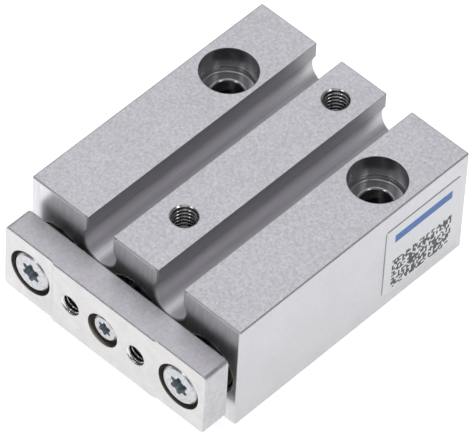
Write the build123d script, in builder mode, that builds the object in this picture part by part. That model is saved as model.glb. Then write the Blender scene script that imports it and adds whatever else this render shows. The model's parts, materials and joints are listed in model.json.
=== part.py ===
from build123d import *
from math import cos, radians, sin
import os

# A compact guided pneumatic cylinder, in millimetres.
# The origin is the middle of the housing's base. +Y runs to the rear, +Z up.
# Lengths along the bores are depths behind the housing's front face, so what
# stands in front of the housing has a negative depth.

# Motion
stroke = 10.0
stop_gap = 0.1

# Fits
running_gap = 0.03
seat_gap = 0.01

# Piston and its rod
piston_bore = 6.0
piston_gap = 0.05
piston_half_length = 3.5
piston_edge_chamfer = 0.2
magnet_diameter = 5.0
magnet_length = 2.0
piston_rod_diameter = 3.0
spigot_diameter = 1.8
spigot_grip = 2.5
seal_groove_width = 1.3
seal_groove_depth = 0.75
seal_side_gap = 0.05
seal_lip_notch = 0.35

# Closures of the piston bore
cap_bore = 7.2
ring_groove_diameter = 8.0
ring_thickness = 0.5
ring_band = 0.85
ring_setback = 0.6
ring_side_gap = 0.02
ring_opening_angle = 40.0
ring_lug_radius = 0.55
ring_lug_hole = 0.5
ring_lug_angle = 62.0
bore_mouth_chamfer = 0.2
rod_bearing_length = 4.4
rear_cap_length = 2.4
cap_edge_chamfer = 0.15
o_ring_groove_width = 0.9
o_ring_groove_depth = 0.55
o_ring_edge_land = 0.75
o_ring_corner = 0.18
rod_seal_diameter = 4.7
rod_seal_width = 1.3
rod_seal_land = 0.9

# Cushions at both ends of the stroke
cushion_seat_depth = 0.6
cushion_edge_chamfer = 0.2
front_cushion_diameter = 4.8
front_cushion_reach = 2.1
front_cushion_rod_gap = 0.2
rear_cushion_diameter = 3.6
rear_cushion_reach = 2.7

# Air ports
port_thread_diameter = 3.0
port_thread_depth = 4.0
port_floor_wall = 0.4
air_hole_diameter = 1.2
front_port_land = 0.8
rear_port_land = 0.2

# Guides
guide_rod_diameter = 4.0
guide_rod_chamfer = 0.4
bush_wall = 1.11
bush_setback = 0.3
bush_length = 4.4
bush_spacing = 1.0
bush_edge_chamfer = 0.25
guide_mouth_chamfer = 0.3
guide_clearance = 0.3
guide_rod_grip = 0.1
guide_end_room = 0.6
guide_side_wall = 0.58

# Sensor slots and the rib between them
rib_width = 6.12
slot_opening = 3.42
slot_bulb_diameter = 4.2
slot_bulb_depth = 3.15
slot_wall = 0.16

# Mounting holes through the outer blocks
mount_hole_diameter = 3.4
mount_hole_chamfer = 0.15
mount_wall = 1.4
head_recess_diameter = 6.18
head_recess_wall = 3.0
head_seat_inset = 0.2
head_seat_taper = 0.3
mount_thread_diameter = 4.0
mount_thread_depth = 5.0
mount_thread_chamfer = 0.25

# Housing
axis_height = 6.15
body_edge_radius = 0.25
body_end_chamfer = 0.15

# Yoke plate
plate_gap = 0.9
plate_thickness = 3.25
plate_height = 8.6
plate_inset = 0.45
plate_edge_chamfer = 0.12
plate_corner_radius = 0.6
pad_width = 13.6
pad_height = 0.18
pad_flank = 0.4
rod_socket_depth = 0.5
plate_thread_spacing = 8.9
plate_thread_diameter = 2.5

# Screws in the yoke plate
screw_edge_chamfer = 0.2
screw_thread_gap = 0.02
tap_runout = 1.0
guide_screw_shank = 2.5
guide_screw_length = 6.0
guide_screw_head = 4.5
guide_screw_head_height = 1.5
guide_screw_head_gap = 0.43
guide_screw_sink = 0.08
guide_screw_socket = 2.39
guide_screw_socket_depth = 0.9
rod_screw_shank = 1.95
rod_screw_length = 6.0
rod_screw_head = 3.05
rod_screw_head_height = 1.2
rod_screw_head_gap = 0.48
rod_screw_sink = 0.28
rod_screw_socket = 1.75
rod_screw_socket_depth = 0.7
socket_lobes = 6
socket_core_ratio = 0.72
socket_lobe_ratio = 0.12

# Depths along the piston bore, from the front
rod_bearing_front = ring_setback + ring_thickness
rod_bearing_rear = rod_bearing_front + rod_bearing_length
front_cushion_rear = rod_bearing_rear + front_cushion_reach
piston_front_depth = front_cushion_rear + stop_gap + stroke
magnet_front = piston_front_depth + piston_half_length
magnet_rear = magnet_front + magnet_length
piston_rear_depth = magnet_rear + piston_half_length
rear_cushion_front = piston_rear_depth + stop_gap
rear_cap_front = rear_cushion_front + rear_cushion_reach
rear_cap_rear = rear_cap_front + rear_cap_length
rear_ring_rear = rear_cap_rear + ring_thickness
body_length = rear_ring_rear + ring_setback
air_hole_radius = air_hole_diameter / 2
front_port_depth = rod_bearing_rear + front_port_land + air_hole_radius
rear_port_depth = rear_cap_front - rear_port_land - air_hole_radius

# Depths along the guide bores
rear_bush_front = bush_setback + bush_length + bush_spacing
bush_bore_end = rear_bush_front + bush_length
guide_rod_end = bush_bore_end + stroke + guide_rod_grip
guide_bore_end = guide_rod_end + guide_end_room
mount_hole_depth = guide_bore_end + mount_wall + mount_hole_diameter / 2

# Depths in the yoke plate, which stands in front of the housing
plate_back = -plate_gap
plate_face = plate_back - plate_thickness
pad_face = plate_face - pad_height
pad_side = pad_width / 2
pad_base_side = pad_side + pad_flank
rod_seat = plate_back - rod_socket_depth
guide_screw_seat = plate_face + guide_screw_sink + guide_screw_head_height
rod_screw_seat = pad_face + rod_screw_sink + rod_screw_head_height

# Radii
bore_radius = piston_bore / 2
cap_bore_radius = cap_bore / 2
cap_radius = cap_bore_radius - seat_gap
piston_radius = bore_radius - piston_gap
piston_rod_radius = piston_rod_diameter / 2
rod_bore_radius = piston_rod_radius + running_gap
spigot_radius = spigot_diameter / 2
guide_rod_radius = guide_rod_diameter / 2
bush_inner_radius = guide_rod_radius + running_gap
bush_outer_radius = bush_inner_radius + bush_wall
bush_bore_radius = bush_outer_radius + seat_gap

# Places and overall size
slot_x = (rib_width + slot_opening) / 2
rod_x = slot_x + slot_bulb_diameter / 2 + slot_wall + head_recess_diameter / 2
body_width = 2 * (rod_x + bush_bore_radius + guide_mouth_chamfer + guide_side_wall)
body_height = axis_height + cap_bore_radius + port_floor_wall + port_thread_depth
front_y = -body_length / 2
sides = {"left": -rod_x, "right": rod_x}


def cross_plane(depth):
    """A plane across the bores, facing the front: local x to the right, local y up."""
    return Plane(origin=(0, front_y + depth, 0), x_dir=(1, 0, 0), z_dir=(0, -1, 0))


def turning_plane(x):
    """A plane through a bore's axis: local x is the radius, local y the depth."""
    return Plane(origin=(x, front_y, axis_height))


def turning_axis(x):
    return Axis((x, front_y, axis_height), (0, 1, 0))


def band(inner, outer, start, end, mode=Mode.ADD):
    """One step of a turned profile, between two radii and two depths."""
    with Locations(((inner + outer) / 2, (start + end) / 2)):
        Rectangle(outer - inner, end - start, mode=mode)


def cone(wide, narrow, wide_depth, narrow_depth):
    """A solid cone step of a turned profile."""
    corners = [(0, wide_depth), (wide, wide_depth), (narrow, narrow_depth), (0, narrow_depth)]
    Polygon(*corners, align=None)


def break_corners(profile, depth, size):
    """Chamfer the outer corners of a turned profile at one depth."""
    corners = profile.vertices().filter_by(lambda v: abs(v.Y - depth) < seat_gap)
    chamfer(corners.sort_by(lambda v: v.X)[-1], size)


def end_edges(part, axis, index):
    """The edges around a part's outermost flat face along an axis."""
    return part.faces().filter_by(axis).sort_by(axis)[index].edges()


def save(piece, name):
    piece.part.label = name
    export_step(piece.part, f"parts/{name}.step")


os.makedirs("parts", exist_ok=True)

# Housing: one bar with two sensor slots, milled to length
with BuildPart() as housing:
    with BuildSketch(cross_plane(0)):
        with Locations((0, body_height / 2)):
            RectangleRounded(body_width, body_height, body_edge_radius)
        with Locations((-slot_x, body_height), (slot_x, body_height)):
            Rectangle(slot_opening, 2 * slot_bulb_depth, mode=Mode.SUBTRACT)
        with Locations((-slot_x, body_height - slot_bulb_depth), (slot_x, body_height - slot_bulb_depth)):
            Circle(slot_bulb_diameter / 2, mode=Mode.SUBTRACT)
    extrude(amount=-body_length)
    chamfer(end_edges(housing, Axis.Y, 0), body_end_chamfer)
    chamfer(end_edges(housing, Axis.Y, -1), body_end_chamfer)

    # Stepped piston bore, closed at both ends by caps behind retaining rings
    with BuildSketch(turning_plane(0)):
        band(0, bore_radius, 0, body_length)
        band(0, cap_bore_radius, 0, rod_bearing_rear)
        band(0, cap_bore_radius, rear_cap_front, body_length)
        band(0, ring_groove_diameter / 2, ring_setback, rod_bearing_front)
        band(0, ring_groove_diameter / 2, rear_cap_rear, rear_ring_rear)
        mouth_radius = cap_bore_radius + bore_mouth_chamfer
        cone(mouth_radius, cap_bore_radius, 0, bore_mouth_chamfer)
        cone(mouth_radius, cap_bore_radius, body_length, body_length - bore_mouth_chamfer)
    revolve(axis=turning_axis(0), mode=Mode.SUBTRACT)

    # Blind guide bores: the bushes sit at the front, the rods run free behind them
    for x in sides.values():
        with BuildSketch(turning_plane(x)):
            band(0, bush_bore_radius, 0, bush_bore_end)
            band(0, guide_rod_radius + guide_clearance, bush_bore_end, guide_bore_end)
            cone(bush_bore_radius + guide_mouth_chamfer, bush_bore_radius, 0, guide_mouth_chamfer)
        revolve(axis=turning_axis(x), mode=Mode.SUBTRACT)

    # Mounting holes: a recess that tapers to the screw head's seat above, a thread below
    mount_hole_y = front_y + mount_hole_depth
    mount_hole_radius = mount_hole_diameter / 2
    recess_radius = head_recess_diameter / 2
    recess_taper_height = body_height - head_recess_wall
    seat_height = recess_taper_height - head_seat_taper
    mount_thread_radius = mount_thread_diameter / 2
    mount_hole_outline = [
        (0, body_height),
        (recess_radius, body_height),
        (recess_radius, recess_taper_height),
        (recess_radius - head_seat_inset, seat_height),
        (mount_hole_radius + mount_hole_chamfer, seat_height),
        (mount_hole_radius, seat_height - mount_hole_chamfer),
        (mount_hole_radius, mount_thread_depth),
        (mount_thread_radius, mount_thread_depth),
        (mount_thread_radius, mount_thread_chamfer),
        (mount_thread_radius + mount_thread_chamfer, 0),
        (0, 0),
    ]
    for x in sides.values():
        with BuildSketch(Plane(origin=(x, mount_hole_y, 0), x_dir=(1, 0, 0), z_dir=(0, -1, 0))):
            Polygon(*mount_hole_outline, align=None)
        revolve(axis=Axis((x, mount_hole_y, 0), (0, 0, 1)), mode=Mode.SUBTRACT)

    # Air ports in the rib: a thread, then a drilled passage into the bore
    port_depths = (front_port_depth, rear_port_depth)
    with Locations(*[(0, front_y + depth, body_height) for depth in port_depths]):
        Hole(port_thread_diameter / 2, port_thread_depth)
        Hole(air_hole_radius, body_height - axis_height)
save(housing, "housing")


# Yoke plate: ties the three rods together and carries the load on its raised pad
with BuildPart() as yoke_plate:
    with BuildSketch(cross_plane(plate_back)):
        with Locations((0, axis_height)):
            RectangleRounded(body_width - 2 * plate_inset, plate_height, plate_corner_radius)
    extrude(amount=plate_thickness)
    chamfer(end_edges(yoke_plate, Axis.Y, 0), plate_edge_chamfer)
    chamfer(end_edges(yoke_plate, Axis.Y, -1), plate_edge_chamfer)
    pad_outline = [
        (pad_base_side, front_y + plate_face + plate_edge_chamfer),
        (pad_base_side, front_y + plate_face),
        (pad_side, front_y + pad_face),
        (-pad_side, front_y + pad_face),
        (-pad_base_side, front_y + plate_face),
        (-pad_base_side, front_y + plate_face + plate_edge_chamfer),
    ]
    with BuildSketch(Plane.XY.offset(axis_height)):
        Polygon(*pad_outline, align=None)
    extrude(amount=plate_height / 2, both=True)
    chamfer(end_edges(yoke_plate, Axis.Y, 0).filter_by(Axis.X), plate_edge_chamfer)

    # Each rod sits in a socket behind the plate, its screw in a recess in front
    for x in sides.values():
        with BuildSketch(turning_plane(x)):
            band(0, guide_screw_head / 2 + guide_screw_head_gap, plate_face, guide_screw_seat)
            band(0, guide_screw_shank / 2 + screw_thread_gap, plate_face, plate_back)
            band(0, guide_rod_radius + seat_gap, rod_seat, plate_back)
        revolve(axis=turning_axis(x), mode=Mode.SUBTRACT)
    with BuildSketch(turning_plane(0)):
        band(0, rod_screw_head / 2 + rod_screw_head_gap, pad_face, rod_screw_seat)
        band(0, rod_screw_shank / 2 + screw_thread_gap, pad_face, plate_back)
        band(0, piston_rod_radius + seat_gap, rod_seat, plate_back)
    revolve(axis=turning_axis(0), mode=Mode.SUBTRACT)

    # Threads for the load
    with Locations(cross_plane(pad_face)):
        with Locations((0, axis_height)), GridLocations(plate_thread_spacing, 0, 2, 1):
            Hole(plate_thread_diameter / 2, plate_thickness + pad_height)
save(yoke_plate, "yoke_plate")


def turned_screw(x, head, head_height, seat, shank, length, socket, socket_depth):
    """A cylinder-head screw with a six-lobe socket, its head resting on the seat."""
    face = seat - head_height
    with BuildPart() as screw:
        with BuildSketch(turning_plane(x)) as profile:
            band(0, head / 2, face, seat)
            band(0, shank / 2, seat, seat + length)
            break_corners(profile, face, screw_edge_chamfer)
            break_corners(profile, seat + length, screw_edge_chamfer)
        revolve(axis=turning_axis(x))
        with BuildSketch(cross_plane(face)):
            with Locations((x, axis_height)):
                Circle(socket * socket_core_ratio / 2)
                with PolarLocations(socket * (1 - 2 * socket_lobe_ratio) / 2, socket_lobes, start_angle=90):
                    Circle(socket * socket_lobe_ratio)
        extrude(amount=-socket_depth, mode=Mode.SUBTRACT)
    return screw


# Screws: one into each guide rod, a smaller one into the piston rod
for side, x in sides.items():
    guide_rod_screw = turned_screw(
        x,
        guide_screw_head,
        guide_screw_head_height,
        guide_screw_seat,
        guide_screw_shank,
        guide_screw_length,
        guide_screw_socket,
        guide_screw_socket_depth,
    )
    save(guide_rod_screw, f"guide_rod_screw_{side}")
piston_rod_screw = turned_screw(
    0,
    rod_screw_head,
    rod_screw_head_height,
    rod_screw_seat,
    rod_screw_shank,
    rod_screw_length,
    rod_screw_socket,
    rod_screw_socket_depth,
)
save(piston_rod_screw, "piston_rod_screw")

# Guide rods: ground rods, tapped at the front end
for side, x in sides.items():
    with BuildPart() as guide_rod:
        with BuildSketch(turning_plane(x)) as profile:
            band(0, guide_rod_radius, rod_seat, guide_rod_end)
            break_corners(profile, guide_rod_end, guide_rod_chamfer)
            tapping_end = guide_screw_seat + guide_screw_length + tap_runout
            band(0, guide_screw_shank / 2 + screw_thread_gap, rod_seat, tapping_end, Mode.SUBTRACT)
        revolve(axis=turning_axis(x))
    save(guide_rod, f"guide_rod_{side}")

# Guide bushes: two plain bearings in each guide bore
for side, x in sides.items():
    for place, bush_front in (("front", bush_setback), ("rear", rear_bush_front)):
        with BuildPart() as guide_bush:
            with BuildSketch(turning_plane(x)) as profile:
                band(bush_inner_radius, bush_outer_radius, bush_front, bush_front + bush_length)
                break_corners(profile, bush_front, bush_edge_chamfer)
                break_corners(profile, bush_front + bush_length, bush_edge_chamfer)
            revolve(axis=turning_axis(x))
        save(guide_bush, f"guide_bush_{place}_{side}")

# Piston rod: tapped for its screw in front, a spigot for the piston behind
with BuildPart() as piston_rod:
    with BuildSketch(turning_plane(0)):
        band(0, piston_rod_radius, rod_seat, piston_front_depth)
        band(0, spigot_radius, piston_front_depth, magnet_rear + spigot_grip)
        tapping_end = rod_screw_seat + rod_screw_length + tap_runout
        band(0, rod_screw_shank / 2 + screw_thread_gap, rod_seat, tapping_end, Mode.SUBTRACT)
    revolve(axis=turning_axis(0))
save(piston_rod, "piston_rod")


def seal_groove_span(half_front):
    """The depths of the seal groove in the middle of a piston half."""
    start = half_front + (piston_half_length - seal_groove_width) / 2
    return start, start + seal_groove_width


# Piston: two grooved halves that clamp the magnet between them
seal_floor_radius = piston_radius - seal_groove_depth
spigot_hole_radius = spigot_radius + seat_gap
with BuildPart() as piston_front:
    with BuildSketch(turning_plane(0)) as profile:
        band(spigot_hole_radius, piston_radius, piston_front_depth, magnet_front)
        break_corners(profile, piston_front_depth, piston_edge_chamfer)
        band(seal_floor_radius, piston_radius, *seal_groove_span(piston_front_depth), Mode.SUBTRACT)
    revolve(axis=turning_axis(0))
save(piston_front, "piston_front")

with BuildPart() as piston_rear:
    with BuildSketch(turning_plane(0)) as profile:
        band(0, piston_radius, magnet_rear, piston_rear_depth)
        break_corners(profile, piston_rear_depth, piston_edge_chamfer)
        band(0, spigot_hole_radius, magnet_rear, magnet_rear + spigot_grip, Mode.SUBTRACT)
        band(seal_floor_radius, piston_radius, *seal_groove_span(magnet_rear), Mode.SUBTRACT)
    revolve(axis=turning_axis(0))
save(piston_rear, "piston_rear")

with BuildPart() as piston_magnet:
    with BuildSketch(turning_plane(0)):
        band(spigot_hole_radius, magnet_diameter / 2, magnet_front, magnet_rear)
    revolve(axis=turning_axis(0))
save(piston_magnet, "piston_magnet")

# Piston seals: lip rings whose notch faces the pressure on their own side
for place, half_front, notch_at in (("front", piston_front_depth, 0), ("rear", magnet_rear, 1)):
    start, end = seal_groove_span(half_front)
    seal_ends = (start + seal_side_gap, end - seal_side_gap)
    seal_inner = seal_floor_radius + seat_gap
    seal_outer = bore_radius - running_gap
    notch_depth = seal_ends[notch_at]
    notch_tip = notch_depth + (1 - 2 * notch_at) * seal_lip_notch
    seal_middle = (seal_inner + seal_outer) / 2
    with BuildPart() as piston_seal:
        with BuildSketch(turning_plane(0)):
            band(seal_inner, seal_outer, *seal_ends)
            Polygon(
                (seal_middle - seal_lip_notch / 2, notch_depth),
                (seal_middle + seal_lip_notch / 2, notch_depth),
                (seal_middle, notch_tip),
                align=None,
                mode=Mode.SUBTRACT,
            )
        revolve(axis=turning_axis(0))
    save(piston_seal, f"piston_seal_{place}")

# Rod bearing: closes the front of the bore, holds the rod seal and the front cushion
o_ring_floor = cap_radius - o_ring_groove_depth
front_cushion_seat = rod_bearing_rear - cushion_seat_depth
front_cushion_radius = front_cushion_diameter / 2
rod_seal_radius = rod_seal_diameter / 2
rod_seal_front = rod_bearing_front + rod_seal_land
rod_seal_rear = rod_seal_front + rod_seal_width
front_o_ring = rod_bearing_rear - o_ring_edge_land - o_ring_groove_width
with BuildPart() as rod_bearing:
    with BuildSketch(turning_plane(0)) as profile:
        band(rod_bore_radius, cap_radius, rod_bearing_front, rod_bearing_rear)
        break_corners(profile, rod_bearing_front, cap_edge_chamfer)
        break_corners(profile, rod_bearing_rear, cap_edge_chamfer)
        band(o_ring_floor, cap_radius, front_o_ring, front_o_ring + o_ring_groove_width, Mode.SUBTRACT)
        band(rod_bore_radius, rod_seal_radius, rod_seal_front, rod_seal_rear, Mode.SUBTRACT)
        band(rod_bore_radius, front_cushion_radius, front_cushion_seat, rod_bearing_rear, Mode.SUBTRACT)
    revolve(axis=turning_axis(0))
save(rod_bearing, "rod_bearing")

with BuildPart() as rod_seal:
    with BuildSketch(turning_plane(0)):
        band(
            rod_bore_radius,
            rod_seal_radius - seat_gap,
            rod_seal_front + seal_side_gap,
            rod_seal_rear - seal_side_gap,
        )
    revolve(axis=turning_axis(0))
save(rod_seal, "rod_seal")

# Rear cap: closes the rear of the bore and holds the rear cushion
rear_cushion_seat = rear_cap_front + cushion_seat_depth
rear_o_ring = rear_cap_front + o_ring_edge_land
with BuildPart() as rear_cap:
    with BuildSketch(turning_plane(0)) as profile:
        band(0, cap_radius, rear_cap_front, rear_cap_rear)
        break_corners(profile, rear_cap_front, cap_edge_chamfer)
        break_corners(profile, rear_cap_rear, cap_edge_chamfer)
        band(o_ring_floor, cap_radius, rear_o_ring, rear_o_ring + o_ring_groove_width, Mode.SUBTRACT)
        band(0, rear_cushion_diameter / 2, rear_cap_front, rear_cushion_seat, Mode.SUBTRACT)
    revolve(axis=turning_axis(0))
save(rear_cap, "rear_cap")

# O-rings: cords squeezed flat between the caps' grooves and the bore
for name, groove_start in (("rod_bearing_o_ring", front_o_ring), ("rear_cap_o_ring", rear_o_ring)):
    with BuildPart() as o_ring:
        with BuildSketch(turning_plane(0)) as profile:
            band(
                o_ring_floor + seat_gap,
                cap_bore_radius - seat_gap,
                groove_start + seal_side_gap,
                groove_start + o_ring_groove_width - seal_side_gap,
            )
            chamfer(profile.vertices(), o_ring_corner)
        revolve(axis=turning_axis(0))
    save(o_ring, name)

# Cushions: a ring in front of the piston, a pad behind it
with BuildPart() as front_cushion_ring:
    with BuildSketch(turning_plane(0)) as profile:
        band(
            piston_rod_radius + front_cushion_rod_gap,
            front_cushion_radius - seat_gap,
            front_cushion_seat,
            front_cushion_rear,
        )
        break_corners(profile, front_cushion_rear, cushion_edge_chamfer)
    revolve(axis=turning_axis(0))
save(front_cushion_ring, "front_cushion_ring")

with BuildPart() as rear_cushion_pad:
    with BuildSketch(turning_plane(0)) as profile:
        band(0, rear_cushion_diameter / 2 - seat_gap, rear_cushion_front, rear_cushion_seat)
        break_corners(profile, rear_cushion_front, cushion_edge_chamfer)
    revolve(axis=turning_axis(0))
save(rear_cushion_pad, "rear_cushion_pad")


def retaining_ring(front):
    """An open spring ring in its groove, with a lug and a plier hole at each end."""
    outer = ring_groove_diameter / 2 - seat_gap
    inner = cap_bore_radius - ring_band
    half_opening = radians(ring_opening_angle / 2)
    opening_reach = 2 * outer
    opening_side = opening_reach * sin(half_opening)
    opening_top = opening_reach * cos(half_opening)
    lug_start = 90 - ring_lug_angle / 2
    with BuildPart() as ring:
        with BuildSketch(cross_plane(front + ring_thickness - ring_side_gap)):
            with Locations((0, axis_height)):
                Circle(outer)
                Circle(inner, mode=Mode.SUBTRACT)
                opening = [(0, 0), (opening_side, opening_top), (-opening_side, opening_top)]
                Polygon(*opening, align=None, mode=Mode.SUBTRACT)
                with PolarLocations(inner, 2, lug_start, ring_lug_angle, endpoint=True):
                    Circle(ring_lug_radius)
                    Circle(ring_lug_hole / 2, mode=Mode.SUBTRACT)
        extrude(amount=ring_thickness - 2 * ring_side_gap)
    return ring


save(retaining_ring(ring_setback), "front_retaining_ring")
save(retaining_ring(rear_cap_rear), "rear_retaining_ring")
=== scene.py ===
import json
import math

import bmesh
import bpy
from mathutils import Matrix, Vector


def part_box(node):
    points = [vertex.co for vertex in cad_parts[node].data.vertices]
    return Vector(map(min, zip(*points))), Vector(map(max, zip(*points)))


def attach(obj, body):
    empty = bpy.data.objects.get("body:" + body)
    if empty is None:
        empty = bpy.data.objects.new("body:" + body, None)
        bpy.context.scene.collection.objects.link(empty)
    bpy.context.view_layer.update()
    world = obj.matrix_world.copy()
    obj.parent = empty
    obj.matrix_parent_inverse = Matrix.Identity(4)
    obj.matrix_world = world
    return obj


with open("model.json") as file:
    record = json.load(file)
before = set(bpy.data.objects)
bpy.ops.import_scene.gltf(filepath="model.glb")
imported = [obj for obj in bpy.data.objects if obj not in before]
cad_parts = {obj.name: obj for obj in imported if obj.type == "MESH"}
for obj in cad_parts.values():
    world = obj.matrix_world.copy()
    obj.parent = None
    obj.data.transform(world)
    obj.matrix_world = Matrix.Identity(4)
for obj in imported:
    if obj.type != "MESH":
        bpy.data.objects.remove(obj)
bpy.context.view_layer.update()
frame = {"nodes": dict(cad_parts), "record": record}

MM = 0.001

# The view: a long lens from the front right and above, slightly rolled
PHOTO_WIDTH = 472
SENSOR_WIDTH = 36.0
FOCAL_PIXELS = 6190.0
VIEW_AZIMUTH = math.radians(40.93)
VIEW_ELEVATION = math.radians(49.40)
VIEW_ROLL = math.radians(3.39)
VIEW_DISTANCE = 612.9 * MM
VIEW_TARGET = Vector((0.722, -2.713, 8.835)) * MM
VIEW_NEAREST = 0.01
VIEW_FARTHEST = 20.0

# Radiance of the lamps, the room and the floor
OVERHEAD_LIGHT = 0.97
FRONT_LIGHT = 0.45
SIDE_LIGHT = 5.0
ROOM_LIGHT = 0.15
FLOOR_GLOW = 0.66

# Lamps, in metres. The overhead one hangs behind and to the left of the object and faces straight down.
OVERHEAD_X, OVERHEAD_Y, OVERHEAD_Z = -0.32, 0.20, 0.55
OVERHEAD_SIZE = (1.0, 1.0)
FRONT_PLACE = (0.75, -0.75, 0.50)
FRONT_SIZE = (0.7, 0.6)
SIDE_DISTANCE = 0.6
SIDE_SIZE = (0.13, 0.13)
SIDE_DIRECTIONS = (("right", (0.815, -0.008, 0.58)), ("left", (-0.107, -0.808, 0.58)))

# Their colours, and the room's
WHITE = (1.0, 1.0, 1.0)
OVERHEAD_TINT = (0.965, 0.95, 1.0)
ROOM_TINT = (0.95, 0.95, 1.0)

# The floor, just clear of the base so that the two faces don't coincide
FLOOR_SIZE = 4.0
FLOOR_GAP = 0.02 * MM

# Threads: diameter, pitch, and the depths where the sleeve starts and ends
PORT_THREAD = (3.0 * MM, 0.5 * MM, 0.01 * MM, 3.95 * MM)
PLATE_THREAD = (2.5 * MM, 0.45 * MM, 0.01 * MM, 3.45 * MM)
BASE_THREAD = (4.0 * MM, 0.7 * MM, 0.25 * MM, 4.9 * MM)
THREAD_WALL = 0.02 * MM
THREAD_CLEARANCE = 0.01 * MM
THREAD_SIDES = 48
ROWS_PER_TURN = 12
# A triangle wave stretched by the slope and then lowered leaves the root and the crest flat
FLANK_SLOPE = 1.6
FLANK_DROP = 0.3
# Shares of the pitch: the ridge's height, and the length over which the last turn runs out
RIDGE_SHARE = 0.54
RUN_OUT_SHARE = 0.6
# Share of the ridge's height that the countersunk mouth reaches down, painted with the crests' highlight
MOUTH_SHARE = 0.7

mounts = {m["name"]: m for m in frame["record"]["mounts"]}
housing_low, housing_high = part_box("housing")
plate_low, plate_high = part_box("yoke_plate")

# Places on the object, in millimetres
TOP = housing_high.z / MM
SIDE_X = housing_high.x / MM
AXIS = mounts["plate_threads"]["pos_m"][2] / MM
SLOT_X = mounts["sensor_slot_right"]["pos_m"][0] / MM
ROD_X = mounts["body_holes"]["dims"]["spacing_x_mm"] / 2
LOAD_X = mounts["plate_threads"]["dims"]["spacing_x_mm"] / 2
MOUNT_Y = mounts["body_holes"]["pos_m"][1] / MM
FRONT_PORT_Y = mounts["front_port"]["pos_m"][1] / MM
REAR_PORT_Y = mounts["rear_port"]["pos_m"][1] / MM
PAD_Y = plate_low.y / MM
PLATE_BACK_Y = plate_high.y / MM
GUIDE_HEAD_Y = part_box("guide_rod_screw_right")[0].y / MM
ROD_HEAD_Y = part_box("piston_rod_screw")[0].y / MM
SLOT_DEPTH = 5.25

# Reach of the cuts' materials round those places, in millimetres: a little past each cut's own radius
SLOT_REACH = 2.15
RECESS_REACH = 3.15
PORT_REACH = 1.58
GUIDE_BORE_REACH = 3.5
PISTON_BORE_REACH = 4.05
GUIDE_HEAD_REACH = 2.72
ROD_HEAD_REACH = 2.06
LOAD_REACH = 1.3
GUIDE_SOCKET_REACH = 1.28
ROD_SOCKET_REACH = 0.95

# Depths below the screw heads' faces where the painted shade on the sockets' floors starts
GUIDE_SOCKET_FLOOR = 0.8
ROD_SOCKET_FLOOR = 0.6

# Rings in the head recesses: depth below the top, half width and brightness
BRIGHT_RING = (2.6, 0.07, 1.1)
DARK_RING = (2.85, 0.05, 0.4)

# Painted shading down a slot, from its mouth to its floor: painted shade on the walls, painted light on the
# floor
SLOT_PAINTED_SHADING = ((0.0, 0.44), (0.36, 0.43), (0.42, 0.47), (0.62, 0.66), (0.85, 1.0))
SLOT_GAIN = 1.4

# The label on the right side, in millimetres: lowest and highest y and z of the film, its bar and its cells
LABEL_Y, LABEL_Z = (4.5, 15.5), (1.95, 11.65)
BAR_Y, BAR_Z = (5.9, 14.3), (9.2, 10.3)
CELLS_Y, CELLS_Z = (5.75, 14.5), (2.25, 6.5)
CELL_SIZE = 0.25
LIGHT_CELLS = 0.45  # share of the cells that stay light
LABEL_RIM = 0.08
LABEL_CORNER = 0.45
CORNER_STEPS = 6
# Its back, shoulder and face: how far each stands off the side, and how far it is drawn in
LABEL_LAYERS = ((-0.01, 0), (0.03, 0), (0.05, 0.02))

# Base colours
ALUMINIUM = (0.60, 0.595, 0.61)
MILLED_ALUMINIUM = (0.72, 0.712, 0.70)
RECESS_PAINTED_SHADE = (0.42, 0.39, 0.34)
CAP_ALUMINIUM = (0.20, 0.20, 0.21)
# The bush: painted shade makes it nearly black, and its edges get a painted highlight
BRONZE_IN_PAINTED_SHADE = (0.055, 0.042, 0.028)
BRONZE_PAINTED_HIGHLIGHT = (0.80, 0.68, 0.50)
GROUND_STEEL = (0.62, 0.63, 0.64)
SPRING_STEEL = (0.06, 0.06, 0.065)
MAGNET_GREY = (0.12, 0.12, 0.125)
SEAL_BLACK = (0.02, 0.02, 0.02)
CUSHION_BLUE = (0.05, 0.06, 0.08)
SOCKET_PAINTED_SHADE = (0.10, 0.13, 0.16)
INK_BLACK = (0.010, 0.010, 0.013)
INK_BLUE = (0.008, 0.13, 0.46)
LABEL_EDGE = (0.12, 0.12, 0.13)

# The middle of a noise's range, where most of its values lie
NOISE_LOW, NOISE_HIGH = 0.3, 0.7

# Share of the housing's surface direction along an axis above which a face counts as facing it
SQUARE_ON = 0.9


def new_mesh(name, bm, material, body):
    """Turns a bmesh into an object that rides on a body."""
    bmesh.ops.recalc_face_normals(bm, faces=bm.faces)
    mesh = bpy.data.meshes.new(name)
    bm.to_mesh(mesh)
    bm.free()
    obj = bpy.data.objects.new(name, mesh)
    bpy.context.scene.collection.objects.link(obj)
    mesh.materials.append(material)
    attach(obj, body)
    return obj


def band(bm, a, b):
    """Faces between two closed loops that have the same number of points."""
    for i in range(len(a)):
        k = (i + 1) % len(a)
        bm.faces.new((a[i], a[k], b[k], b[i]))


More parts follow.
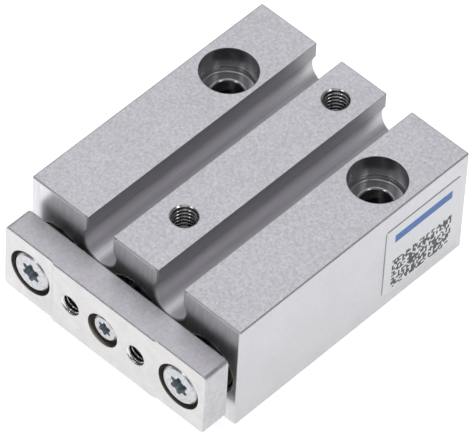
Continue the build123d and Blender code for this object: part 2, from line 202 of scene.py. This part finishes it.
class Nodes:
    """A material under construction: its node tree and its principled shader."""

    def __init__(self, name):
        self.material = bpy.data.materials.new(name)
        self.material.use_nodes = True
        self.tree = self.material.node_tree
        self.shader = next(n for n in self.tree.nodes if n.type == "BSDF_PRINCIPLED")
        self.place = self.add("ShaderNodeTexCoord").outputs["Object"]

    def add(self, kind, **settings):
        node = self.tree.nodes.new(kind)
        for key, value in settings.items():
            setattr(node, key, value)
        return node

    def put(self, value, target):
        """Sets an input to a number or a colour, or links a socket to it."""
        if isinstance(value, bpy.types.NodeSocket):
            self.tree.links.new(value, target)
        else:
            target.default_value = value

    def math(self, operation, *values):
        node = self.add("ShaderNodeMath", operation=operation)
        for value, target in zip(values, node.inputs):
            self.put(value, target)
        return node.outputs[0]

    def chain(self, operation, values):
        """The operation on the first two values, then on its result and the next one, and so on."""
        result = values[0]
        for value in values[1:]:
            result = self.math(operation, result, value)
        return result

    def plus(self, *values):
        return self.chain("ADD", values)

    def minus(self, a, b):
        return self.math("SUBTRACT", a, b)

    def times(self, *values):
        return self.chain("MULTIPLY", values)

    def both(self, *masks):
        """One where every mask is one."""
        return self.chain("MULTIPLY", masks)

    def either(self, *masks):
        """One where any mask is one."""
        return self.chain("MAXIMUM", masks)

    def absolute(self, value):
        return self.math("ABSOLUTE", value)

    def off(self, a, b):
        """Distance from an axis, from the two offsets across it."""
        return self.math("SQRT", self.plus(self.times(a, a), self.times(b, b)))

    def span(self, value, low, high, new_low, new_high):
        """Maps low and high to the new low and high, and holds them beyond."""
        node = self.add("ShaderNodeMapRange")
        for key, number in (("From Min", low), ("From Max", high), ("To Min", new_low), ("To Max", new_high)):
            self.put(number, node.inputs[key])
        self.put(value, node.inputs["Value"])
        return node.outputs["Result"]

    def within(self, distance, radius, soft=0.04):
        """One where the distance is less than the radius, else zero."""
        return self.span(distance, radius - soft, radius + soft, 1.0, 0.0)

    def beyond(self, value, limit, soft=0.04):
        """One where the value is more than the limit, else zero."""
        return self.span(value, limit - soft, limit + soft, 0.0, 1.0)

    def blend(self, mask, base, other):
        """The base where the mask is zero, the other where it is one: two numbers or sockets."""
        return self.plus(base, self.times(mask, self.minus(other, base)))

    def tinted(self, mask, base, other):
        """As blend, for colours."""
        node = self.add("ShaderNodeMix", data_type="RGBA")
        self.put(mask, node.inputs["Factor"])
        for value, target in ((base, node.inputs[6]), (other, node.inputs[7])):
            self.put(value if isinstance(value, bpy.types.NodeSocket) else (*value, 1.0), target)
        return node.outputs[2]

    def shaded(self, colour, factor):
        """A colour socket made lighter or darker by a number socket."""
        node = self.add("ShaderNodeVectorMath", operation="SCALE")
        self.put(colour, node.inputs[0])
        self.put(factor, node.inputs["Scale"])
        return node.outputs[0]

    def scaled(self, per_mm):
        """The object's coordinates, with this many cycles per millimetre along each axis."""
        mapping = self.add("ShaderNodeMapping")
        mapping.inputs["Scale"].default_value = [f / MM for f in per_mm]
        self.put(self.place, mapping.inputs["Vector"])
        return mapping.outputs["Vector"]

    def parts(self, vector):
        """A vector's x, y and z, as three sockets."""
        node = self.add("ShaderNodeSeparateXYZ")
        self.put(vector, node.inputs[0])
        return node.outputs[0], node.outputs[1], node.outputs[2]

    def axes(self):
        """The object's own coordinates in millimetres."""
        return self.parts(self.scaled((1, 1, 1)))

    def true_normal(self):
        return self.add("ShaderNodeNewGeometry").outputs["True Normal"]

    def facing(self):
        """The direction that the surface faces, as three sockets."""
        return self.parts(self.true_normal())

    def noise(self, per_mm, detail=2.0, roughness=0.5):
        """A noise with this many cycles per millimetre along each axis."""
        node = self.add("ShaderNodeTexNoise")
        node.inputs["Scale"].default_value = 1.0
        node.inputs["Detail"].default_value = detail
        node.inputs["Roughness"].default_value = roughness
        self.put(self.scaled(per_mm), node.inputs["Vector"])
        return node.outputs["Fac"]

    def around_zero(self, noise, swing):
        """A noise moved to lie around zero and scaled by the swing, a number or a socket."""
        return self.times(self.minus(noise, 0.5), swing)

    def wave(self, per_mm, swing, detail=2.0):
        """A noise around zero, as a share of the surface's brightness."""
        return self.around_zero(self.noise(per_mm, detail), swing)

    def spread(self, noise, low, high):
        """Spreads the middle of a noise's range over two numbers."""
        return self.span(noise, NOISE_LOW, NOISE_HIGH, low, high)

    def ramp(self, value, stops):
        """Maps a value to colours, given as (place, colour) pairs."""
        node = self.add("ShaderNodeValToRGB")
        ramp = node.color_ramp
        while len(ramp.elements) < len(stops):
            ramp.elements.new(0.5)
        for element, (place, colour) in zip(ramp.elements, stops):
            element.position = place
            element.color = (*colour, 1.0)
        self.put(value, node.inputs["Fac"])
        return node.outputs["Color"]

    def mottled(self, noise, dark, light):
        """As spread, for colours."""
        return self.ramp(noise, [(NOISE_LOW, dark), (NOISE_HIGH, light)])

    def rounded(self, radius_mm):
        """The normal as if sharp edges had this radius."""
        bevel = self.add("ShaderNodeBevel", samples=8)
        bevel.inputs["Radius"].default_value = radius_mm * MM
        return bevel.outputs["Normal"]

    def edges(self, rounded):
        """One on and beside sharp edges, where the rounded normal leaves the true one, else zero."""
        node = self.add("ShaderNodeVectorMath", operation="DOT_PRODUCT")
        self.put(rounded, node.inputs[0])
        self.put(self.true_normal(), node.inputs[1])
        return self.span(node.outputs["Value"], 0.98, 0.88, 0.0, 1.0)

    def bump(self, height, strength, depth_mm, normal=None):
        node = self.add("ShaderNodeBump")
        node.inputs["Strength"].default_value = strength
        node.inputs["Distance"].default_value = depth_mm * MM
        self.put(height, node.inputs["Height"])
        if normal:
            self.put(normal, node.inputs["Normal"])
        return node.outputs["Normal"]

    def finish(self, colour, roughness, normal, **values):
        """Fills the shader's inputs and gives the material."""
        values.update(Base_Color=colour, Roughness=roughness, Normal=normal)
        for key, value in values.items():
            self.put(value, self.shader.inputs[key.replace("_", " ")])
        return self.material


def tint(colour, factor):
    return tuple(min(1.0, c * factor) for c in colour)


def housing_metal(name):
    """Matt anodised aluminium: blasted outside, tool marks in the slots and recesses, painted light on the
    ends, painted shading in the slots and painted shade in the bores.
    """
    m = Nodes(name)
    x, y, z = m.axes()
    _, along, up = m.facing()
    side = m.absolute(x)
    height = m.minus(z, AXIS)
    depth = m.minus(TOP, z)

    # The kinds of surface
    end = m.beyond(m.absolute(along), SQUARE_ON)
    not_end = m.minus(1.0, end)
    top = m.both(m.beyond(up, SQUARE_ON), m.beyond(z, TOP - 0.1))
    below = m.within(z, TOP - 0.01, 0.005)
    slot = m.both(
        m.within(m.absolute(m.minus(side, SLOT_X)), SLOT_REACH),
        m.beyond(z, TOP - SLOT_DEPTH - 0.25), below, not_end,
    )
    recess = m.within(m.off(m.minus(side, ROD_X), m.minus(y, MOUNT_Y)), RECESS_REACH)
    front_port = m.within(m.off(x, m.minus(y, FRONT_PORT_Y)), PORT_REACH)
    rear_port = m.within(m.off(x, m.minus(y, REAR_PORT_Y)), PORT_REACH)
    drilled = m.both(m.either(recess, front_port, rear_port), m.beyond(z, 0.5), below)
    guide_bore = m.within(m.off(m.minus(side, ROD_X), height), GUIDE_BORE_REACH)
    piston_bore = m.within(m.off(x, height), PISTON_BORE_REACH)
    bored = m.both(m.either(guide_bore, piston_bore), not_end)

    # Outside: a fine grain, strongest on top, faint milling marks up the ends, and painted light that makes
    # the ends lighter
    grain = m.noise((3.2, 3.2, 3.2), detail=3.0, roughness=0.75)
    speckle = m.around_zero(grain, m.blend(top, 0.18, 0.95))
    milling = m.times(m.wave((5.0, 0.5, 0.35), 0.5), end)
    cloud = m.wave((0.22, 0.22, 0.22), 0.12)
    # Painted light: the ends' level is raised to 1.16
    outside = m.plus(m.blend(end, 1.0, 1.16), speckle, m.plus(cloud, milling))

    # Slots: painted shading from the walls to the floor, lengthwise lines, and brighter ones that the cutter
    # left on the floor
    wall = m.span(depth, 0.0, SLOT_DEPTH, 0.0, 1.0)
    # Painted shade on the walls and painted light on the floor, by depth
    painted_shading = m.ramp(wall, [(place, (grey, grey, grey)) for place, grey in SLOT_PAINTED_SHADING])
    drawn = m.wave((7.0, 0.1, 7.0), 0.10)
    lines = m.times(m.wave((9.0, 0.06, 9.0), 0.6), m.beyond(depth, 4.0, 0.5))
    level = m.blend(slot, outside, m.plus(m.times(painted_shading, SLOT_GAIN), m.plus(drawn, lines)))

    # Holes: turned rings, and a bright ring above a dark one near each recess floor
    turned = m.wave((0.2, 0.2, 9.0), 0.4)
    level = m.blend(drilled, level, m.plus(0.88, turned))
    for ring_depth, half_width, brightness in (BRIGHT_RING, DARK_RING):
        ring = m.within(m.absolute(m.minus(depth, ring_depth)), half_width)
        level = m.blend(m.both(recess, ring), level, brightness)
    # Bores: painted shade, nearly black
    level = m.blend(bored, level, 0.12)

    rounded = m.rounded(0.15)
    fine = m.noise((9.0, 9.0, 9.0))
    rough = m.spread(fine, 0.36, 0.48)
    for mask, value in ((end, 0.31), (slot, 0.5), (drilled, 0.22), (m.edges(rounded), 0.26)):
        rough = m.blend(mask, rough, value)
    relief = m.blend(m.either(slot, drilled), m.plus(grain, m.times(fine, 0.5)), 0.5)
    normal = m.bump(relief, strength=0.4, depth_mm=0.012, normal=rounded)
    shade = m.ramp(grain, [(0.0, ALUMINIUM), (1.0, tint(ALUMINIUM, 1.02))])
    return m.finish(m.shaded(shade, level), rough, normal, Metallic=0.92)


def plate_metal(name):
    """The plate: bright milled front, duller flanks, brownish painted shade in the screw recesses, painted
    shade on the back.
    """
    m = Nodes(name)
    x, y, z = m.axes()
    _, along, _ = m.facing()
    side = m.absolute(x)
    height = m.minus(z, AXIS)
    front = m.within(along, -0.75)
    near_back = PLATE_BACK_Y - 0.1
    back = m.both(m.beyond(along, 0.8), m.beyond(y, near_back))
    in_pad = m.beyond(y, PAD_Y + 0.03, 0.01)
    guide = m.both(
        m.within(m.off(m.minus(side, ROD_X), height), GUIDE_HEAD_REACH),
        m.beyond(y, GUIDE_HEAD_Y - 0.05, 0.01),
    )
    rod = m.both(m.within(m.off(x, height), ROD_HEAD_REACH), in_pad)
    load = m.both(m.within(m.off(m.minus(side, LOAD_X), height), LOAD_REACH), in_pad)
    sunk = m.both(m.either(guide, rod, load), m.within(y, near_back))

    grain = m.noise((2.6, 2.6, 2.6), detail=3.0, roughness=0.75)
    milled = m.noise((0.5, 0.5, 6.0), detail=3.0, roughness=0.6)
    blotch = m.wave((0.8, 0.8, 0.8), 0.22, detail=4.0)
    speckle = m.around_zero(grain, m.blend(front, 0.7, 0.1))
    level = m.plus(m.blend(front, 0.95, 0.945), speckle, blotch)
    # The back: painted shade, nearly black
    level = m.blend(back, level, 0.14)
    shade = m.shaded(m.tinted(front, ALUMINIUM, MILLED_ALUMINIUM), level)
    # The screw recesses: brownish painted shade
    shade = m.tinted(sunk, shade, RECESS_PAINTED_SHADE)

    rounded = m.rounded(0.08)
    rough = m.blend(front, m.spread(grain, 0.38, 0.50), m.spread(milled, 0.30, 0.42))
    rough = m.blend(sunk, rough, 0.35)
    rough = m.blend(m.edges(rounded), rough, 0.3)
    normal = m.bump(m.blend(front, grain, milled), strength=0.35, depth_mm=0.010, normal=rounded)
    return m.finish(shade, rough, normal, Metallic=0.9)


def turned_metal(name, colour, roughness, lines=12.0):
    """Turned or ground metal: fine rings across the bores' axis."""
    m = Nodes(name)
    rings = m.noise((0.6, lines, 0.6))
    shade = m.shaded(m.mottled(rings, tint(colour, 0.97), colour), m.spread(rings, 0.88, 1.06))
    rounded = m.rounded(0.05)
    rough = m.blend(m.edges(rounded), m.spread(rings, roughness - 0.05, roughness + 0.08), 0.15)
    normal = m.bump(rings, strength=0.25, depth_mm=0.006, normal=rounded)
    return m.finish(shade, rough, normal, Metallic=1.0)


def plain_metal(name, colour, roughness, grain=9.0, swing=0.12, edge_wear_and_highlight=None):
    """Plated or sintered metal with a fine mottle and brighter edges: worn by default, a painted highlight
    where an edge colour is given.
    """
    m = Nodes(name)
    mottle = m.noise((grain, grain, grain), detail=3.0, roughness=0.6)
    shade = m.mottled(mottle, tint(colour, 1.0 - swing), tint(colour, 1.0 + swing / 2))
    rounded = m.rounded(0.05)
    # Edges brighter: worn by default, a painted highlight where a colour is given
    shade = m.tinted(m.edges(rounded), shade, edge_wear_and_highlight or tint(colour, 1.3))
    rough = m.spread(mottle, roughness - 0.05, roughness + 0.07)
    normal = m.bump(mottle, strength=0.3, depth_mm=0.01, normal=rounded)
    return m.finish(shade, rough, normal, Metallic=1.0)


def screw_metal(name):
    """Grey zinc on the heads; blue-grey in their six-lobe sockets, whose lighter streaks are painted
    reflections, with painted shade on the sockets' floors.
    """
    m = Nodes(name)
    x, y, z = m.axes()
    side = m.absolute(x)
    height = m.minus(z, AXIS)

    def socket_and_floor(distance, reach, head_y, floor_depth):
        socket = m.both(m.within(distance, reach, 0.02), m.beyond(y, head_y + 0.05, 0.03))
        return socket, m.both(socket, m.beyond(y, head_y + floor_depth, 0.1))

    guide, guide_floor = socket_and_floor(
        m.off(m.minus(side, ROD_X), height), GUIDE_SOCKET_REACH, GUIDE_HEAD_Y, GUIDE_SOCKET_FLOOR,
    )
    rod, rod_floor = socket_and_floor(m.off(x, height), ROD_SOCKET_REACH, ROD_HEAD_Y, ROD_SOCKET_FLOOR)
    socket = m.either(guide, rod)
    floor = m.either(guide_floor, rod_floor)

    mottle = m.noise((3, 3, 3), detail=3.0, roughness=0.6)
    zinc = m.mottled(mottle, (0.46, 0.475, 0.485), (0.68, 0.69, 0.70))
    streaks = m.noise((7, 1.2, 7), detail=3.0, roughness=0.7)
    # The sockets: a blue-grey tone, its lighter streaks painted reflections
    steel = m.ramp(streaks, [(0.35, (0.13, 0.17, 0.20)), (0.65, (0.78, 0.86, 0.90))])
    shade = m.tinted(socket, zinc, steel)
    # Painted shade on the sockets' floors, at half strength
    shade = m.tinted(m.times(floor, 0.5), shade, SOCKET_PAINTED_SHADE)
    rough = m.blend(socket, m.spread(mottle, 0.24, 0.36), 0.30)
    normal = m.bump(mottle, strength=0.15, depth_mm=0.006, normal=m.rounded(0.06))
    return m.finish(shade, rough, normal, Metallic=m.blend(socket, 0.85, 0.3))


def tapped_metal(name):
    """A tapped thread: painted highlights on the crests, painted shade in the roots."""
    m = Nodes(name)
    crest = m.add("ShaderNodeAttribute", attribute_name="crest").outputs["Fac"]
    mottle = m.noise((6, 6, 6))
    # Painted shade in the roots, painted highlight on the crests
    root_painted_shade, crest_painted_highlight = 0.08, 1.15
    level = m.plus(m.span(crest, 0.5, 1.0, root_painted_shade, crest_painted_highlight), m.around_zero(mottle, 0.2))
    shade = m.shaded(m.mottled(mottle, (0.62, 0.61, 0.60), (0.72, 0.72, 0.72)), level)
    normal = m.bump(mottle, strength=0.2, depth_mm=0.004)
    return m.finish(shade, m.spread(mottle, 0.16, 0.28), normal, Metallic=1.0)


def rubber(name, colour, roughness):
    """Matt rubber with a faint moulded grain."""
    m = Nodes(name)
    grain = m.noise((14, 14, 14))
    shade = m.mottled(grain, tint(colour, 0.8), tint(colour, 1.2))
    rough = m.spread(grain, roughness - 0.08, roughness + 0.08)
    return m.finish(shade, rough, m.bump(grain, strength=0.2, depth_mm=0.01))


def label_film(name):
    """A printed film: a plain blue bar, and below it a field of random dark cells."""
    m = Nodes(name)
    _, y, z = m.axes()

    def panel(across, up):
        """One inside a rectangle, given by its lowest and highest y and z."""
        soft = 0.03
        return m.both(
            m.beyond(y, across[0], soft), m.within(y, across[1], soft),
            m.beyond(z, up[0], soft), m.within(z, up[1], soft),
        )

    # Each cell takes one random value. The first size only makes x the same over the whole film.
    cell = m.add("ShaderNodeVectorMath", operation="SNAP")
    m.put(m.scaled((1, 1, 1)), cell.inputs[0])
    cell.inputs[1].default_value = (100.0, CELL_SIZE, CELL_SIZE)
    random_cell = m.add("ShaderNodeTexWhiteNoise", noise_dimensions="3D")
    m.put(cell.outputs[0], random_cell.inputs["Vector"])
    dark = m.both(m.beyond(random_cell.outputs["Value"], LIGHT_CELLS, 0.005), panel(CELLS_Y, CELLS_Z))

    paper = m.noise((1.2, 1.2, 1.2), detail=3.0)
    ink = m.noise((7, 7, 7))

    def printed(where, least):
        """How far the ink covers the paper there, the least in thin spots."""
        return m.both(where, m.span(ink, 0.25, 0.4, least, 0.95))

    # The two inks, and a thin dark rim at the front and upper edges
    shade = m.mottled(paper, (0.80, 0.815, 0.83), (0.85, 0.86, 0.87))
    shade = m.tinted(printed(dark, 0.75), shade, INK_BLACK)
    shade = m.tinted(printed(panel(BAR_Y, BAR_Z), 0.8), shade, INK_BLUE)
    rim = m.either(m.within(y, LABEL_Y[0] + LABEL_RIM), m.beyond(z, LABEL_Z[1] - LABEL_RIM))
    shade = m.tinted(m.times(rim, 0.7), shade, LABEL_EDGE)
    normal = m.bump(paper, strength=0.1, depth_mm=0.005, normal=m.rounded(0.03))
    return m.finish(shade, m.spread(paper, 0.30, 0.38), normal, Specular_IOR_Level=0.25)


materials = {
    "anodised_aluminium": housing_metal("anodised_aluminium"),
    "plate_aluminium": plate_metal("plate_aluminium"),
    "cap_aluminium": turned_metal("cap_aluminium", CAP_ALUMINIUM, 0.4),
    # The bush: painted shade on its faces, a painted highlight on its edges
    "bush_bronze": plain_metal("bush_bronze", BRONZE_IN_PAINTED_SHADE, 0.4, swing=0.3, edge_wear_and_highlight=BRONZE_PAINTED_HIGHLIGHT),
    "ground_steel": turned_metal("ground_steel", GROUND_STEEL, 0.18, lines=20.0),
    "plated_screw": screw_metal("plated_screw"),
    "spring_steel": plain_metal("spring_steel", SPRING_STEEL, 0.5),
    "seal_rubber": rubber("seal_rubber", SEAL_BLACK, 0.6),
    "cushion": rubber("cushion", CUSHION_BLUE, 0.55),
    "magnet": plain_metal("magnet", MAGNET_GREY, 0.6, grain=12.0),
    "thread": tapped_metal("thread"),
    "label": label_film("label"),
}

# Each CAD node gets its slot's material
slots = {row["node"]: row["material_slot"] for row in frame["record"]["subparts"]}
for node, obj in frame["nodes"].items():
    obj.data.materials.clear()
    obj.data.materials.append(materials[slots[node]])


def thread_form(phase):
    """Height of a thread's flank, 0 at the root and 1 at the crest, over one turn."""
    triangle = abs((phase % 1.0) * 2 - 1)
    return min(1.0, max(0.0, triangle * FLANK_SLOPE - FLANK_DROP))


def thread(name, mouth, inward, size, body):
    """The ridges of a tapped thread: a sleeve in a hole, helical inside, with a countersunk mouth."""
    diameter, pitch, start, end = size
    outer = diameter / 2 - THREAD_CLEARANCE
    thin = outer - THREAD_WALL
    ridge = RIDGE_SHARE * pitch
    rows = max(2, round((end - start) / pitch * ROWS_PER_TURN))
    turn = Vector((0, 0, 1)).rotation_difference(Vector(inward)).to_matrix()
    bm = bmesh.new()
    crest = bm.verts.layers.float.new("crest")

    def ring(depth, radius_at):
        """A ring of points, each with how near it is to a crest, which its material turns into painted
        highlight and shade.
        """
        verts = []
        for i in range(THREAD_SIDES):
            angle = 2 * math.pi * i / THREAD_SIDES
            r = radius_at(angle)
            point = Vector((r * math.cos(angle), r * math.sin(angle), depth))
            vert = bm.verts.new(Vector(mouth) + turn @ point)
            # In the mouth the crest value is held at one: the countersink gets the crests' painted highlight
            vert[crest] = 1.0 if depth < start + MOUTH_SHARE * ridge else (thin - r) / ridge
            verts.append(vert)
        return verts

    def inner(depth):
        """The inside's radius at a depth, as a function of the angle."""
        countersink = outer + start - depth
        fade = min(1.0, max(0.0, (end - depth) / (RUN_OUT_SHARE * pitch)))

        def radius(angle):
            form = thread_form(depth / pitch + angle / (2 * math.pi))
            return min(thin, max(countersink, thin - ridge * fade * form))

        return radius

    depths = [start + (end - start) * j / rows for j in range(rows + 1)]
    rings = [ring(depth, inner(depth)) for depth in depths]
    rings.append(ring(end, lambda angle: outer))
    rings.append(ring(start, lambda angle: outer))
    for a, b in zip(rings, rings[1:] + rings[:1]):
        band(bm, a, b)
    obj = new_mesh(name, bm, materials["thread"], body)
    for face in obj.data.polygons:
        face.use_smooth = True


def pair_place(mount, sign):
    """Place of one hole of a pair, left (-1) or right (1) of the pattern's middle."""
    x, y, z = mounts[mount]["pos_m"]
    half = mounts[mount]["dims"]["spacing_x_mm"] * MM / 2
    return x + sign * half, y, z


# Port threads, from the mouth down
for place in ("front", "rear"):
    x, y, _ = mounts[f"{place}_port"]["pos_m"]
    mouth = (x, y, housing_high.z)
    thread(f"port_thread_{place}", mouth, (0, 0, -1), PORT_THREAD, "housing")

# Load threads through the plate, and the threads in the base
for side, sign in (("left", -1), ("right", 1)):
    x, _, z = pair_place("plate_threads", sign)
    mouth = (x, plate_low.y, z)
    thread(f"plate_thread_{side}", mouth, (0, 1, 0), PLATE_THREAD, "slide")
    x, y, _ = pair_place("base_threads", sign)
    mouth = (x, y, housing_low.z)
    thread(f"base_thread_{side}", mouth, (0, 0, 1), BASE_THREAD, "housing")


def label():
    """A thin film stuck on the right side, with rounded corners."""
    bm = bmesh.new()
    (low_y, high_y), (low_z, high_z) = LABEL_Y, LABEL_Z
    corners = ((high_y, high_z), (low_y, high_z), (low_y, low_z), (high_y, low_z))

    def loop(offset, inset):
        """The film's outline at one distance from the side, drawn in by the inset."""
        r = LABEL_CORNER - inset
        verts = []
        for quarter, (corner_y, corner_z) in enumerate(corners):
            centre_y = corner_y + (LABEL_CORNER if corner_y == low_y else -LABEL_CORNER)
            centre_z = corner_z + (LABEL_CORNER if corner_z == low_z else -LABEL_CORNER)
            for step in range(CORNER_STEPS + 1):
                angle = math.radians(90 * quarter + 90 / CORNER_STEPS * step)
                y, z = centre_y + r * math.cos(angle), centre_z + r * math.sin(angle)
                verts.append(bm.verts.new(Vector((SIDE_X + offset, y, z)) * MM))
        return verts

    back, shoulder, face = (loop(offset, inset) for offset, inset in LABEL_LAYERS)
    band(bm, back, shoulder)
    band(bm, shoulder, face)
    bm.faces.new(back)
    bm.faces.new(face)
    new_mesh("label", bm, materials["label"], "housing")


label()


def softbox(name, place, size, radiance, colour, aim=(0, 0, 0)):
    """A rectangular lamp that faces a point, with the same radiance at any size."""
    light = bpy.data.lights.new(name, "AREA")
    light.shape = "RECTANGLE"
    light.size, light.size_y = size
    light.energy = radiance * math.pi * size[0] * size[1]
    light.color = colour
    obj = bpy.data.objects.new(name, light)
    bpy.context.scene.collection.objects.link(obj)
    obj.location = place
    obj.visible_camera = False
    obj.rotation_mode = "QUATERNION"
    obj.rotation_quaternion = (Vector(aim) - Vector(place)).to_track_quat("-Z", "Y")


def studio():
    """A plain pale floor, a dim room and soft lamps."""
    bpy.ops.mesh.primitive_plane_add(size=FLOOR_SIZE, location=(0, 0, housing_low.z - FLOOR_GAP))
    floor = bpy.context.active_object
    floor.name = "floor"
    m = Nodes("floor")
    tone = m.noise((0.002, 0.002, 0.002), detail=1.0)
    shade = m.ramp(tone, [(0.0, (0.93, 0.93, 0.93)), (1.0, (0.95, 0.95, 0.95))])
    normal = m.bump(tone, strength=0.05, depth_mm=0.1)
    m.finish(shade, 0.9, normal, Emission_Strength=FLOOR_GLOW, Emission_Color=(*WHITE, 1.0))
    floor.data.materials.append(m.material)

    world = bpy.data.worlds.new("studio")
    bpy.context.scene.world = world
    world.use_nodes = True
    background = world.node_tree.nodes["Background"]
    background.inputs["Color"].default_value = (*ROOM_TINT, 1.0)
    background.inputs["Strength"].default_value = ROOM_LIGHT

    softbox(
        "overhead", (OVERHEAD_X, OVERHEAD_Y, OVERHEAD_Z), OVERHEAD_SIZE, OVERHEAD_LIGHT, OVERHEAD_TINT,
        aim=(OVERHEAD_X, OVERHEAD_Y, 0),
    )
    # A weak lamp at the front right, opposite the views from behind. The faces seen in the photo's view
    # mirror other directions.
    softbox("panel", FRONT_PLACE, FRONT_SIZE, FRONT_LIGHT, WHITE)
    for name, direction in SIDE_DIRECTIONS:
        softbox(name, Vector(direction) * SIDE_DISTANCE, SIDE_SIZE, SIDE_LIGHT, WHITE)


studio()


def photo_camera():
    """Puts the camera where the photograph was taken from."""
    back = Vector((
        math.sin(VIEW_AZIMUTH) * math.cos(VIEW_ELEVATION),
        -math.cos(VIEW_AZIMUTH) * math.cos(VIEW_ELEVATION),
        math.sin(VIEW_ELEVATION),
    ))
    level = Vector((math.cos(VIEW_AZIMUTH), math.sin(VIEW_AZIMUTH), 0))
    upright = back.cross(level)
    right = math.cos(VIEW_ROLL) * level + math.sin(VIEW_ROLL) * upright
    up = back.cross(right)
    data = bpy.data.cameras.new("camera")
    data.sensor_width = SENSOR_WIDTH
    data.lens = FOCAL_PIXELS * SENSOR_WIDTH / PHOTO_WIDTH
    data.clip_start = VIEW_NEAREST
    data.clip_end = VIEW_FARTHEST
    camera = bpy.data.objects.new("camera", data)
    bpy.context.scene.collection.objects.link(camera)
    rotation = Matrix((right, up, back)).transposed()
    camera.matrix_world = Matrix.Translation(VIEW_TARGET + back * VIEW_DISTANCE) @ rotation.to_4x4()
    bpy.context.scene.camera = camera


photo_camera()
bpy.context.scene.view_settings.view_transform = "Standard"
